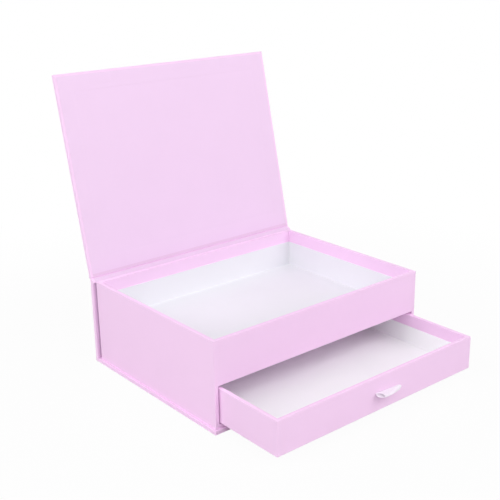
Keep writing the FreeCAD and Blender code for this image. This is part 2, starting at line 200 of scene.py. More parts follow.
class Wire:
    """A socket's output that takes part in ordinary arithmetic."""

    def __init__(self, shader, socket):
        self.shader = shader
        self.socket = socket

    def _math(self, operation, first, second):
        return self.shader.node("ShaderNodeMath", {"operation": operation}, {0: first, 1: second})[0]

    def __add__(self, other):
        return self._math("ADD", self, other)

    __radd__ = __add__

    def __sub__(self, other):
        return self._math("SUBTRACT", self, other)

    def __rsub__(self, other):
        return self._math("SUBTRACT", other, self)

    def __mul__(self, other):
        return self._math("MULTIPLY", self, other)

    def __pow__(self, other):
        return self._math("POWER", self, other)

    def __abs__(self):
        return self._math("ABSOLUTE", self, 0.0)

    def at_most(self, other):
        return self._math("MINIMUM", self, other)


class Shader:
    """The node tree of its owner, which is a material or a world."""

    def __init__(self, owner):
        self.owner = owner
        owner.use_nodes = True
        self.tree = owner.node_tree
        self.tree.nodes.clear()

    def node(self, kind, settings=None, inputs=None):
        """Add a node: its settings first, then its sockets. Returns its outputs as wires."""
        made = self.tree.nodes.new(kind)
        for name, value in (settings or {}).items():
            setattr(made, name, value)
        for key, value in (inputs or {}).items():
            if isinstance(value, Wire):
                self.tree.links.new(value.socket, made.inputs[key])
            else:
                made.inputs[key].default_value = value
        return [Wire(self, socket) for socket in made.outputs if socket.enabled]

    def place(self):
        """Object coordinates of the piece, in metres."""
        outputs = self.node("ShaderNodeTexCoord")
        return next(wire for wire in outputs if wire.socket.name == "Object")

    def axes(self, place):
        """The x, y and z of a place."""
        return self.node("ShaderNodeSeparateXYZ", inputs={0: place})

    def noise(self, place, scale, detail=2.0, roughness=0.5):
        return self.node("ShaderNodeTexNoise", inputs={
            "Vector": place, "Scale": scale, "Detail": detail, "Roughness": roughness})[0]

    def ramp(self, value, low, high):
        """0 below low, 1 above high and a smooth step between."""
        return self.node("ShaderNodeMapRange", {"interpolation_type": "SMOOTHSTEP"},
                         {0: value, 1: low, 2: high, 3: 0.0, 4: 1.0})[0]

    def mix(self, factor, first, second):
        """The first colour where the factor is 0 and the second where it is 1."""
        return self.node("ShaderNodeMix", {"data_type": "RGBA"}, {0: factor, 6: first, 7: second})[0]

    def bump(self, height):
        """A normal for a height given in millimetres."""
        return self.node("ShaderNodeBump", inputs={"Height": height, "Distance": MM})[0]

    def wave(self, value, pitch):
        """A sine wave from -1 to 1."""
        return self.node("ShaderNodeMath", {"operation": "SINE"}, {0: value * (2 * math.pi / pitch)})[0]

    def window(self, value, half, soft):
        """1 where a value lies within half of 0, with soft edges."""
        return self.ramp(half - abs(value), -soft, soft)

    def finish(self, **inputs):
        """Close the tree with a Principled shader."""
        sockets = {name.replace("_", " "): value for name, value in inputs.items()}
        surface = self.node("ShaderNodeBsdfPrincipled", inputs=sockets)[0]
        self.node("ShaderNodeOutputMaterial", inputs={0: surface})
        return self.owner


# ---------------------------------------------------------------- materials

def shaded(values, share):
    return [channel * share for channel in values]


def colour(values, lift=1.0):
    """A socket's colour, made lighter or darker by lift."""
    return tuple(min(1.0, channel * lift) for channel in values) + (1.0,)


def paper_material(name, tint, fold=False, emboss=None):
    """Matt coated paper: fine fibres, faint cloudiness and a slightly open grain."""
    fibre_scale, cloud_scale, wear_scale, grain_scale = 2600.0, 38.0, 240.0, 900.0
    grain_height = 0.016
    shader = Shader(bpy.data.materials.new(name))
    place = shader.place()
    fibres = shader.noise(place, fibre_scale, 3.0, 0.6)
    cloud = shader.noise(place, cloud_scale, 3.0, 0.55)
    tone = shader.mix(cloud, colour(tint, 0.985), colour(tint, 1.015))
    if fold:
        worn = shader.ramp(shader.noise(place, wear_scale, 4.0, 0.65), 0.42, 0.78)
        half_white = colour([channel * 0.5 + 0.5 for channel in tint])
        tone = shader.mix(worn * 0.35, tone, half_white)
    grain = fibres * 0.7 + shader.noise(place, grain_scale, 2.0, 0.5) * 0.3
    height = grain * grain_height
    if emboss:
        height = height + emboss(shader, place)
    return shader.finish(
        Base_Color=shader.mix(fibres * 0.16, tone, colour(tint, 1.05)),
        Roughness=0.50 + fibres * 0.14,
        Normal=shader.bump(height))


def lid_emboss(shader, place):
    """What shows through the lid's liner: the edge of the wrap turned in under it, and the magnets."""
    close = OPEN_LID.inverted()
    flat = shader.node("ShaderNodeMapping", {"vector_type": "POINT"}, {
        "Vector": place, "Location": close.translation, "Rotation": close.to_euler()})[0]
    across, along = shader.axes(flat)[:2]
    low, high = lid_corners("lid_wrap")
    middle_y, half_y = (low.y + high.y) / 2, (high.y - low.y) / 2
    soft_step, step_height = 0.35 * MM, 0.07
    bare = (shader.window(across, high.x - TURN_IN, soft_step)
            * shader.window(along - middle_y, half_y - TURN_IN, soft_step))
    magnet_low, magnet_high = lid_corners("lid_magnet_right")
    half = (magnet_high - magnet_low) / 2
    centre = magnet_low + half
    soft_edge, magnet_height = 0.3 * MM, 0.05
    magnet = (shader.window(abs(across) - centre.x, half.x, soft_edge)
              * shader.window(along - centre.y, half.y, soft_edge))
    return magnet * magnet_height - bare * step_height


def board_material(name, tint):
    """Raw greyboard with darker and lighter flecks."""
    fleck_scale = 1500.0
    shader = Shader(bpy.data.materials.new(name))
    flecks = shader.noise(shader.place(), fleck_scale, 4.0, 0.7)
    return shader.finish(
        Base_Color=shader.mix(flecks, colour(tint, 0.7), colour(tint, 1.3)),
        Roughness=0.85 + flecks * 0.1,
        Normal=shader.bump(flecks * 0.05))


def magnet_material(name, tint):
    """Bright nickel plating with faint scuffs."""
    scuff_scale = 700.0
    scuffed = (0.72, 0.71, 0.70)
    shader = Shader(bpy.data.materials.new(name))
    scuffs = shader.noise(shader.place(), scuff_scale, 3.0, 0.6)
    return shader.finish(
        Base_Color=shader.mix(scuffs, colour(tint), colour(scuffed)),
        Metallic=1.0,
        Roughness=0.18 + scuffs * 0.2)


def ribbon_material(name, tint):
    """Satin ribbon: fine ribs across it and a tighter woven edge along each side."""
    rib_pitch, thread_pitch = 0.42 * MM, 0.30 * MM
    edge_width, soft_edge = 1.0 * MM, 0.12 * MM
    shader = Shader(bpy.data.materials.new(name))
    across, along = shader.axes(shader.node("ShaderNodeUVMap", {"uv_map": "ribbon"})[0])[:2]
    ribs = shader.wave(along, rib_pitch)
    threads = shader.wave(across, thread_pitch)
    low, high = corners("ribbon_pull")
    edge = 1 - shader.window(across, (high.x - low.x) / 2 - edge_width, soft_edge)
    weave = ribs * 0.35 + ribs * threads * 0.15 + 0.5
    return shader.finish(
        Base_Color=shader.mix(weave * 0.7 + edge * 0.3, colour(tint, 0.95), colour(tint, 1.02)),
        Roughness=0.46 - weave * 0.1 + edge * 0.1,
        Normal=shader.bump(weave * 0.03 + edge * 0.05))


MATERIALS = {}


def material(name):
    """The material of a finish, made the first time that it is asked for."""
    if name not in MATERIALS:
        paper = bpy.context.scene.gift_box_paper
        ribbon = bpy.context.scene.gift_box_ribbon
        finishes = {
            "wrap_paper": (paper_material, paper.wrap_colour, {}),
            "wrap_fold": (paper_material, paper.wrap_colour, {"fold": True}),
            # A darker copy of the liner paper for the spine's liner: painted shade.
            "hinge_paper": (paper_material, shaded(paper.liner_light_painted_colour, 0.93), {}),
            # A darker copy of the wrap paper for the groove under the lid: painted shade in the crease.
            "crease_paper": (paper_material, shaded(paper.wrap_colour, 0.87), {}),
            # The lid's liner takes the cooler, darker pink: painted light and shade on the lid's inner
            # face.
            "lid_liner_paper": (paper_material, paper.liner_light_painted_colour, {"emboss": lid_emboss}),
            # The tray's card is a darker copy of the white lining, painted shade; the drawer's card is a
            # lighter copy, painted light.
            "tray_card": (paper_material, paper.tray_shade_painted_colour, {}),
            "drawer_card": (paper_material, paper.drawer_light_painted_colour, {}),
            "card_edge": (paper_material, (0.95, 0.92, 0.96), {}),
            "greyboard": (board_material, paper.board_colour, {}),
            "nickel": (magnet_material, (0.60, 0.60, 0.61), {}),
            "ribbon": (ribbon_material, ribbon.colour, {}),
        }
        make, tint, extras = finishes[name]
        MATERIALS[name] = make(name, tint, **extras)
    return MATERIALS[name]


# ---------------------------------------------------------------- modelling moves

def deselect_all():
    if bpy.context.mode != "OBJECT":
        bpy.ops.object.mode_set(mode="OBJECT")
    bpy.ops.object.select_all(action="DESELECT")


def activate(piece):
    """Make a piece the one that object operators work on."""
    deselect_all()
    piece.select_set(True)
    bpy.context.view_layer.objects.active = piece


def apply_transform():
    bpy.ops.object.transform_apply(location=True, rotation=True, scale=True)


def edit(piece):
    activate(piece)
    bpy.ops.object.mode_set(mode="EDIT")


def leave_edit():
    bpy.ops.object.mode_set(mode="OBJECT")


def select(piece, kind, test):
    """Select the faces or edges of the piece in edit mode that pass the test."""
    bpy.ops.mesh.select_mode(type=kind)
    bpy.ops.mesh.select_all(action="DESELECT")
    mesh = bmesh.from_edit_mesh(piece.data)
    for item in (mesh.faces if kind == "FACE" else mesh.edges):
        if test(item):
            item.select_set(True)
    mesh.select_flush_mode()
    bmesh.update_edit_mesh(piece.data)


def edge_middle(edge):
    return (edge.verts[0].co + edge.verts[1].co) / 2


def face_middle(face):
    return face.calc_center_median()


def facing(direction):
    """A test for the faces that look in a direction."""
    return lambda face: face.normal.dot(Vector(direction)) > 0.99


def sharp_convex(edge):
    """Whether an outward edge bends by more than about 30 degrees."""
    return edge.is_manifold and edge.is_convex and edge.calc_face_angle(0.0) > 0.5


def sharp(edge):
    """Whether an edge bends, either way, by more than about 10 degrees."""
    return edge.is_manifold and edge.calc_face_angle(0.0) > 0.2


def add_block(name, low, high):
    deselect_all()
    bpy.ops.mesh.primitive_cube_add(size=1.0, location=(low + high) / 2, scale=high - low)
    piece = bpy.context.object
    piece.name = piece.data.name = name
    apply_transform()
    return piece


def delete_faces(piece, test):
    select(piece, "FACE", test)
    bpy.ops.mesh.delete(type="FACE")


def sink_selected(offset):
    """Extrude the selected face into the piece and leave its far end open."""
    bpy.ops.mesh.extrude_region_move(TRANSFORM_OT_translate={"value": offset})
    bpy.ops.mesh.delete(type="FACE")


def cut_window(piece, x_span, z_span, depth, slope=0.0):
    """Cut a window with upright ends through the front face. slope tilts its top and bottom."""
    front_y = min(vertex.co.y for vertex in bmesh.from_edit_mesh(piece.data).verts)

    def front(face):
        return facing((0, -1, 0))(face) and face_middle(face).y < front_y + ON_PLANE

    across = sum(x_span) / 2
    sides = [((x_span[0], 0, 0), (-1, 0, 0)), ((x_span[1], 0, 0), (1, 0, 0)),
             ((across, 0, z_span[0]), (slope, 0, -1)), ((across, 0, z_span[1]), (-slope, 0, 1))]
    for place, normal in sides:
        select(piece, "FACE", front)
        bpy.ops.mesh.bisect(plane_co=place, plane_no=normal, use_fill=False)
    select(piece, "FACE", lambda face: front(face) and all(
        (face_middle(face) - Vector(place)).dot(Vector(normal)) < 0 for place, normal in sides))
    sink_selected(Vector((0, depth, 0)))


def fold_over_rim(piece, wall, depth):
    """Fold the paper over the top of the walls and down inside them."""
    select(piece, "FACE", facing((0, 0, 1)))
    bpy.ops.mesh.inset(thickness=wall, depth=0.0)
    sink_selected(Vector((0, 0, -depth)))


def round_folds(piece, test, radius, segments, slot=1):
    """Round the edges that pass the test. The rounded faces take the material of the slot."""
    select(piece, "EDGE", test)
    bpy.ops.mesh.bevel(offset=radius, segments=segments, profile=0.5, affect="EDGES",
                       clamp_overlap=True, material=slot)


def merge_close():
    """Merge the points of the edited piece where two rounded folds meet, or where an outline closes."""
    bpy.ops.mesh.select_all(action="SELECT")
    bpy.ops.mesh.remove_doubles(threshold=MERGE_WITHIN)


def apply_modifier(piece, kind, **settings):
    activate(piece)
    modifier = piece.modifiers.new(kind.title(), kind)
    for name, value in settings.items():
        setattr(modifier, name, value)
    bpy.ops.object.modifier_apply(modifier=modifier.name)


def finish_paper(piece, finishes, thickness, side=-1.0, rim=0):
    """Give a folded sheet its thickness, materials and smooth folds."""
    merge_close()
    leave_edit()
    for finish in finishes:
        piece.data.materials.append(material(finish))
    apply_modifier(piece, "SOLIDIFY", thickness=thickness, offset=side, use_even_offset=True,
                   material_offset_rim=rim)
    smooth_folds(piece)


def smooth_folds(piece):
    activate(piece)
    bpy.ops.object.shade_smooth_by_angle(angle=math.radians(SMOOTH_BELOW))
    apply_modifier(piece, "WEIGHTED_NORMAL", weight=50, keep_sharp=True)


def finish_solid(piece, finish):
    leave_edit()
    piece.data.materials.append(material(finish))
    smooth_folds(piece)


def open_with_lid(piece):
    """Turn a piece drawn closed about the hinge axis to the open lid's place."""
    activate(piece)
    piece.matrix_world = OPEN_LID
    apply_transform()


def add_folded_sheet(name, x_low, x_high, path, outward):
    """A strip of paper along a path of (y, z) points, extruded edge by edge.

    It starts as a narrow plane, of which only the front edge is kept."""
    deselect_all()
    plane_depth = 1.0 * MM
    start = Vector(((x_low + x_high) / 2, *path[0]))
    bpy.ops.mesh.primitive_plane_add(size=1.0, location=start)
    piece = bpy.context.object
    piece.name = piece.data.name = name
    piece.scale = (x_high - x_low, plane_depth, 1.0)
    apply_transform()
    edit(piece)
    select(piece, "EDGE", lambda edge: edge_middle(edge).y > start.y + plane_depth / 10)
    bpy.ops.mesh.delete(type="VERT")
    bpy.ops.mesh.select_mode(type="EDGE")
    bpy.ops.mesh.select_all(action="SELECT")
    bpy.ops.transform.translate(value=(0.0, plane_depth / 2, 0.0))
    for here, there in zip(path, path[1:]):
        step = (0.0, there[0] - here[0], there[1] - here[1])
        bpy.ops.mesh.extrude_region_move(TRANSFORM_OT_translate={"value": step})
    mesh = bmesh.from_edit_mesh(piece.data)
    mesh.faces.ensure_lookup_table()
    mesh.normal_update()
    if mesh.faces[0].normal.dot(Vector(outward)) < 0:
        bpy.ops.mesh.select_all(action="SELECT")
        bpy.ops.mesh.flip_normals()
    return piece


def add_prism(name, x_low, x_high, outline):
    """A closed bar whose end is an outline of (y, z) points."""
    piece = add_folded_sheet(name, x_low, x_high, outline + outline[:1], (0, 0, 1))
    merge_close()
    for end in (x_low, x_high):
        select(piece, "EDGE", lambda edge: all(abs(v.co.x - end) < ON_PLANE / 10 for v in edge.verts))
        bpy.ops.mesh.edge_face_add()
    bpy.ops.mesh.select_all(action="SELECT")
    bpy.ops.mesh.normals_make_consistent(inside=False)
    return piece


def settle(piece, body, slot, *nodes):
    """Parent the piece to the empty of the body that it rides on and hide the nodes that it stands for. The
    slot, the piece's finish, is not used.
    """
    if body:
        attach(piece, body)
    if nodes:
        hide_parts(*nodes)
    return piece


# ---------------------------------------------------------------- pieces

class BoxOperator:
    """Shared settings of the operators that add a piece"""

    bl_options = {"REGISTER", "UNDO"}


class GIFTBOX_OT_body_wrap(BoxOperator, bpy.types.Operator):
    """Wrap paper round the four walls, folded over the rim and into the drawer's mouth"""

    bl_idname = "gift_box.body_wrap"
    bl_label = "Body wrap"

    def execute(self, context):
        paper = context.scene.gift_box_paper
        low, high = corners("body_wrap")
        panel_low, panel_high = corners("front_panel")
        wall = panel_high.y - low.y + paper.thickness
        floor_low, floor_high = corners("bay_floor")
        under_lining = 4 * MM
        fold = high.z - corners("tray_lining")[1].z + under_lining
        piece = add_block("box_wrap_paper", low, high)
        edit(piece)
        delete_faces(piece, facing((0, 0, -1)))
        fold_over_rim(piece, wall, fold)
        cut_window(piece, (floor_low.x + paper.thickness, floor_high.x - paper.thickness),
                   (floor_high.z + paper.thickness, panel_low.z - paper.thickness), TURN_IN)
        round_folds(piece, sharp_convex, paper.fold_radius, paper.fold_segments)
        finish_paper(piece, ["wrap_paper", "wrap_fold"], paper.thickness)
        settle(piece, "box", "pink_paper", "body_wrap")
        self.add_bay_lining(paper)
        return {"FINISHED"}

    def add_bay_lining(self, paper):
        """The same paper inside the bay that the drawer slides in, from behind the turned-in edge."""
        floor_low, floor_high = corners("bay_floor")
        ceiling = corners("tray_floor")[0].z
        back = corners("back_wall")[0].y
        lap = 1 * MM
        piece = add_block(
            "bay_lining_paper", Vector((floor_low.x, floor_low.y + TURN_IN - lap, floor_high.z)),
            Vector((floor_high.x, back, ceiling)))
        edit(piece)
        delete_faces(piece, lambda face: face.normal.y < -0.9 or face.normal.z < -0.9)
        bpy.ops.mesh.select_all(action="SELECT")
        bpy.ops.mesh.flip_normals()
        corner_radius = 0.2 * MM
        round_folds(piece, sharp, corner_radius, 2, slot=0)
        finish_paper(piece, ["wrap_paper"], paper.thickness, side=1.0)
        settle(piece, "box", "pink_paper")


def add_board_wrap(name, low, high, open_side, paper):
    """Paper round a board, with its edges turned in on the open side."""
    piece = add_block(name, low, high)
    edit(piece)
    select(piece, "FACE", facing(open_side))
    bpy.ops.mesh.inset(thickness=TURN_IN, depth=0.0)
    bpy.ops.mesh.delete(type="FACE")
    round_folds(piece, sharp_convex, paper.fold_radius, paper.fold_segments)
    finish_paper(piece, ["wrap_paper", "wrap_fold"], paper.thickness)
    return piece


class GIFTBOX_OT_base_wrap(BoxOperator, bpy.types.Operator):
    """Wrap paper round the base board"""

    bl_idname = "gift_box.base_wrap"
    bl_label = "Base wrap"

    def execute(self, context):
        paper = context.scene.gift_box_paper
        piece = add_board_wrap("base_wrap_paper", *corners("base_wrap"), (0, 0, 1), paper)
        settle(piece, "box", "pink_paper", "base_wrap")
        return {"FINISHED"}


def add_lining(name, low, high, finish, paper):
    """White card inside the wrap that is folded over the walls."""
    inset = paper.thickness + paper.lining_card
    piece = add_block(name, low + Vector((inset, inset, paper.thickness)),
                      high - Vector((inset, inset, 0)))
    edit(piece)
    delete_faces(piece, facing((0, 0, 1)))
    bpy.ops.mesh.select_all(action="SELECT")
    bpy.ops.mesh.flip_normals()
    round_folds(piece, sharp, paper.lining_radius, paper.fold_segments, slot=0)
    finish_paper(piece, [finish, "card_edge"], paper.lining_card, rim=1)
    return piece


class GIFTBOX_OT_tray_lining(BoxOperator, bpy.types.Operator):
    """White lining of the tray's floor and walls"""

    bl_idname = "gift_box.tray_lining"
    bl_label = "Tray lining"

    def execute(self, context):
        paper = context.scene.gift_box_paper
        low, high = corners("tray_lining")
        # The tray's card is darkened: painted shade.
        piece = add_lining("tray_lining_paper", low, high, "tray_card", paper)
        settle(piece, "box", "white_paper", "tray_lining")
        return {"FINISHED"}


def on_lid(along, above):
    """A (y, z) point of the open lid, from its place on the closed lid."""
    place = OPEN_LID @ Vector((0, along, above))
    return place.y, place.z


def behind(back, above):
    """A (y, z) point, in millimetres behind and above the upper rear edge of the body."""
    edge = corners("body_wrap")[1]
    return edge.y + back * MM, edge.z + above * MM


class GIFTBOX_OT_spine(BoxOperator, bpy.types.Operator):
    """Wrap and liner of the spine, with the creases that join it to the base and the lid"""

    bl_idname = "gift_box.spine"
    bl_label = "Spine papers"

    def execute(self, context):
        paper = context.scene.gift_box_paper
        self.add_outer(paper)
        self.add_ends(paper)
        self.add_inner(paper)
        self.add_crease_cores()
        self.add_lower_crease(paper)
        return {"FINISHED"}

    def add_outer(self, paper):
        """Wrap from the lower crease to a lap on the lid, which stands a little proud of the lid's wrap."""
        low, high = corners("spine_wrap")
        proud, lap, bend_radius = 0.05 * MM, 2.5 * MM, 0.4 * MM
        outer = lid_corners("lid_wrap")[1].z + proud
        path = [(high.y, CREASE_TOP), (high.y, LID_AXIS.z - 0.2 * MM), on_lid(0.0, 0.9 * outer),
                on_lid(-0.35 * MM, outer), on_lid(-lap, outer)]
        piece = add_folded_sheet("spine_wrap_paper", low.x, high.x, path, (0, 1, 0))
        round_folds(piece, sharp, bend_radius, 5, slot=0)
        finish_paper(piece, ["wrap_paper"], paper.thickness)
        settle(piece, None, "pink_paper", "spine_wrap")
        self.blend_back(piece)

    def blend_back(self, piece):
        """Bake the piece's place into its mesh; the piece is not bent."""
        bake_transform(piece)

    def blend_front(self, piece):
        """Bake the piece's place into its mesh; the piece is not bent."""
        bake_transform(piece)

    def add_ends(self, paper):
        """Wrap turned in round the front and the ends of the spine board."""
        low, high = corners("spine_wrap")
        board_low, board_high = corners("spine_board")
        bottom, top = board_low.z - paper.thickness, board_high.z + paper.thickness
        piece = add_block("spine_end_paper", Vector((low.x, low.y, bottom)),
                          Vector((high.x, high.y - paper.thickness, top)))
        edit(piece)
        delete_faces(piece, facing((0, 1, 0)))
        round_folds(piece, sharp_convex, paper.fold_radius, paper.fold_segments)
        finish_paper(piece, ["wrap_paper", "wrap_fold"], paper.thickness)
        settle(piece, "spine", "pink_paper")

    def add_inner(self, paper):
        """Liner up the spine, over the body's rear edge and into the groove under the lid."""
        low, high = corners("spine_liner")
        inner = lid_corners("lid_wrap")[0].z
        proud, bend_radius = 0.08 * MM, 0.3 * MM
        front = low.y - proud
        path = [(front, low.z + 2 * MM), (front, behind(0, -2.7)[1]), behind(1.5, -1.75),
                behind(0.42, -1.05), behind(0.42, -0.35), behind(0.9, 0.15), behind(2.3, 0.98),
                behind(3.4, 1.52), behind(4.3, 1.85), on_lid(-0.02 * MM, inner + 0.72 * MM),
                on_lid(-0.26 * MM, inner + 0.30 * MM), on_lid(-0.75 * MM, inner - 0.02 * MM),
                on_lid(-3.2 * MM, inner - 0.02 * MM)]
        piece = add_folded_sheet("spine_liner_paper", low.x, high.x, path, (0, -1, 0))
        round_folds(piece, sharp, bend_radius, 4, slot=0)
        # The faces in the groove under the lid take the darker copy of the wrap paper: painted shade in the
        # crease.
        groove_y, groove_z = behind(3.9, 1.6)
        select(piece, "FACE", lambda face: face_middle(face).y > groove_y
               and face_middle(face).z > groove_z)
        # The rest of the spine's liner takes the darker copy of the liner paper: painted shade.
        for finish in ("hinge_paper", "crease_paper"):
            piece.data.materials.append(material(finish))
        piece.active_material_index = 1
        bpy.ops.object.material_slot_assign()
        finish_paper(piece, [], paper.thickness)
        settle(piece, None, "pink_paper", "spine_liner")
        self.blend_front(piece)

    def add_crease_cores(self):
        """Turned-in paper that fills the crease between the liner and the wrap."""
        low, high = corners("spine_wrap")
        front_inset, back_inset = 0.05 * MM, 0.15 * MM
        front = [behind(2.5, -2.7), behind(1.6, -1.6), behind(0.68, -0.95), behind(0.68, -0.42),
                 behind(1.0, -0.05), behind(2.4, 0.76), behind(3.45, 1.3), behind(4.3, 1.62),
                 behind(4.45, 1.68), behind(4.5, 1.1), behind(5.0, 0.6), behind(5.1, -0.3)]
        piece = add_prism("hinge_front_paper", low.x + front_inset, high.x - front_inset, front)
        finish_solid(piece, "wrap_paper")
        settle(piece, None, "pink_paper")
        self.blend_front(piece)
        back = [behind(4.4, -0.2), behind(5.5, -0.2), behind(5.55, 1.68), behind(5.62, 2.2),
                behind(5.3, 2.55), behind(4.4, 2.42), behind(4.4, 1.6)]
        piece = add_prism("hinge_back_paper", low.x + back_inset, high.x - back_inset, back)
        finish_solid(piece, "wrap_paper")
        settle(piece, None, "pink_paper")
        self.blend_back(piece)

    def add_lower_crease(self, paper):
        """Wrap from a lap under the base to the foot of the spine."""
        low, high = corners("spine_wrap")
        back = corners("base_wrap")[1].y
        lift, lap, bend_radius = 0.05 * MM, 2.5 * MM, 0.35 * MM
        path = [(back - lap, lift), (high.y, lift), (high.y, CREASE_TOP)]
        piece = add_folded_sheet("base_crease_paper", low.x, high.x, path, (0, 0, -1))
        round_folds(piece, sharp, bend_radius, 5, slot=0)
        finish_paper(piece, ["wrap_paper"], paper.thickness)
        settle(piece, None, "pink_paper")
        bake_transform(piece)


class GIFTBOX_OT_lid(BoxOperator, bpy.types.Operator):
    """Wrap and liner of the lid board"""

    bl_idname = "gift_box.lid"
    bl_label = "Lid papers"

    def execute(self, context):
        paper = context.scene.gift_box_paper
        low, high = lid_corners("lid_wrap")
        back = lid_corners("lid_board")[1].y + paper.thickness
        piece = add_board_wrap("lid_wrap_paper", low, Vector((high.x, back, high.z)), (0, 0, -1), paper)
        open_with_lid(piece)
        settle(piece, "lid", "pink_paper", "lid_wrap")
        self.add_liner()
        return {"FINISHED"}

    def add_liner(self):
        """Liner inside the lid, a little proud of the wrap that is turned in under it."""
        low, high = lid_corners("lid_liner")
        proud = Vector((0, 0, 0.08 * MM))
        clear_of_crease, edge_radius, skin = 2.5 * MM, 0.05 * MM, 0.04 * MM
        piece = add_block("lid_liner_paper", low - proud,
                          Vector((high.x, high.y - clear_of_crease, high.z)))
        edit(piece)
        delete_faces(piece, facing((0, 0, 1)))
        round_folds(piece, sharp_convex, edge_radius, 2, slot=0)
        finish_paper(piece, ["lid_liner_paper"], skin)
        open_with_lid(piece)
        settle(piece, "lid", "pink_paper", "lid_liner")


class GIFTBOX_OT_drawer(BoxOperator, bpy.types.Operator):
    """Wrap and lining of the drawer"""

    bl_idname = "gift_box.drawer"
    bl_label = "Drawer papers"

    def execute(self, context):
        paper = context.scene.gift_box_paper
        low, high = corners("drawer_wrap")
        wall = corners("drawer_front")[1].y - low.y + paper.thickness
        under_lining = 3 * MM
        fold = high.z - corners("drawer_lining")[1].z + under_lining
        piece = add_block("drawer_wrap_paper", low, high)
        edit(piece)
        fold_over_rim(piece, wall, fold)
        round_folds(piece, sharp_convex, paper.fold_radius, paper.fold_segments)
        self.cut_slit(piece, context.scene.gift_box_ribbon)
        finish_paper(piece, ["wrap_paper", "wrap_fold"], paper.thickness)
        settle(piece, "drawer", "pink_paper", "drawer_wrap")
        # The drawer's card is lightened: painted light.
        lining = add_lining("drawer_lining_paper", *corners("drawer_lining"), "drawer_card", paper)
        settle(lining, "drawer", "white_paper", "drawer_lining")
        return {"FINISHED"}

    def cut_slit(self, piece, ribbon):
        """Cut the slit that the ribbon comes out of, with the ribbon's tilt."""
        low, high = corners("ribbon_pull")
        clearance, half_height, depth = 0.15 * MM, 0.5 * MM, 2.5 * MM
        cut_window(piece, (low.x - clearance, high.x + clearance),
                   (slit_level() - half_height, slit_level() + half_height), depth,
                   slope=-ribbon.tilt / (high.x - low.x))


def slit_level():
    """Height of the middle of the slit in the drawer's front."""
    below_loop_top = 0.9 * MM
    return corners("ribbon_pull")[1].z - below_loop_top


def curve_through(points, place):
    """A smooth curve through (out, up) points. place runs from 0 at the first to 1 at the last."""
    at = place * (len(points) - 1)
    index = min(int(at), len(points) - 2)
    part = at - index
    before = points[max(index - 1, 0)]
    here, there = points[index], points[index + 1]
    after = points[min(index + 2, len(points) - 1)]
    return tuple(
        0.5 * (2 * b + (c - a) * part + (2 * a - 5 * b + 4 * c - d) * part ** 2
               + (3 * b - a - 3 * c + d) * part ** 3)
        for a, b, c, d in zip(before, here, there, after))


class GIFTBOX_OT_ribbon(BoxOperator, bpy.types.Operator):
    """Ribbon loop that pulls the drawer out"""

    bl_idname = "gift_box.ribbon"
    bl_label = "Ribbon pull"

    def execute(self, context):
        ribbon = context.scene.gift_box_ribbon
        low, high = corners("ribbon_pull")
        width, length = high.x - low.x, 31 * MM
        columns, rows = 16, 48
        deselect_all()
        bpy.ops.mesh.primitive_grid_add(x_subdivisions=columns, y_subdivisions=rows, size=1.0)
        piece = bpy.context.object
        piece.name = piece.data.name = "ribbon_loop"
        piece.scale = (width, length, 1.0)
        apply_transform()
        flat = [vertex.co.copy() for vertex in piece.data.vertices]
        while piece.data.uv_layers:
            piece.data.uv_layers.remove(piece.data.uv_layers[0])
        layer = piece.data.uv_layers.new(name="ribbon")
        for corner in piece.data.loops:
            layer.data[corner.index].uv = flat[corner.vertex_index].xy
        for vertex, place in zip(piece.data.vertices, flat):
            vertex.co = self.fold(ribbon, place.x / width + 0.5, place.y / length + 0.5)
        piece.data.materials.append(material("ribbon"))
        apply_modifier(piece, "SOLIDIFY", thickness=ribbon.thickness, offset=0.0)
        smooth_folds(piece)
        settle(piece, "drawer", "ribbon", "ribbon_pull")
        return {"FINISHED"}

    def profile(self, reach, down, wide):
        """Points (out of the drawer, up) along the ribbon: its tail, the slit, the loop and the slit."""
        clear_of_board, half_slit = 0.05 * MM, 0.25 * MM
        tail_end, tail_bend = -9.5 * MM, -4.5 * MM
        inside = corners("drawer_wrap")[0].y - corners("drawer_front")[1].y - clear_of_board
        tail = [(inside, tail_end), (inside, tail_bend), (inside, half_slit * 0.6),
                (inside * 0.5, half_slit), (0.0, half_slit)]
        shares = [(0.3, 0.58, 0.10), (0.6, 0.62, 0.42), (0.87, 0.27, 0.8), (1.0, -0.35, 1.0),
                  (0.85, -1.0, 0.92), (0.58, -1.35, 0.55), (0.28, -1.15, 0.18)]
        loop = [(out * reach, opens * wide - droops * down) for out, opens, droops in shares]
        return tail + loop + [(0.0, -half_slit), (inside, -half_slit)]

    def fold(self, ribbon, across, along):
        """Where a point of the flat ribbon lies in the loop. Both run from 0 to 1."""
        low, high = corners("ribbon_pull")
        face = corners("drawer_wrap")[0].y
        narrowing = 0.22 * across + 1.39 * across ** 2 - 0.61 * across ** 3
        reach = ribbon.left_reach + (ribbon.right_reach - ribbon.left_reach) * narrowing
        down = ribbon.droop * (0.04 + 1.06 * across - 0.1 * across ** 2)
        wide = ribbon.opening * (1 - 0.55 * across)
        profile = self.profile(reach, down, wide)
        out, up = curve_through(profile, along)
        free = min(max(out / reach, 0.0), 1.0)
        upper = 1 if along < profile.index(max(profile)) / (len(profile) - 1) else -1
        lean_left, lean_change = 1.6 * MM, 2.9 * MM
        lean = (lean_left - lean_change * across) * free ** 1.5
        skew = upper * ribbon.skew * math.sin(math.pi * free)
        tilt = ribbon.tilt * (0.5 - across)
        return Vector((low.x + (high.x - low.x) * across + lean + skew, face - out,
                       slit_level() + tilt + up))


class GIFTBOX_OT_boards(BoxOperator, bpy.types.Operator):
    """Greyboard and magnets, hidden under the paper"""

    bl_idname = "gift_box.boards"
    bl_label = "Boards and magnets"

    def execute(self, context):
        for node, piece in frame["nodes"].items():
            if piece.hide_render:
                continue
            finish = material("nickel" if "magnet" in node else "greyboard")
            for slot in piece.material_slots:
                slot.material = finish
            if not piece.material_slots:
                piece.data.materials.append(finish)
        return {"FINISHED"}


# ---------------------------------------------------------------- stage

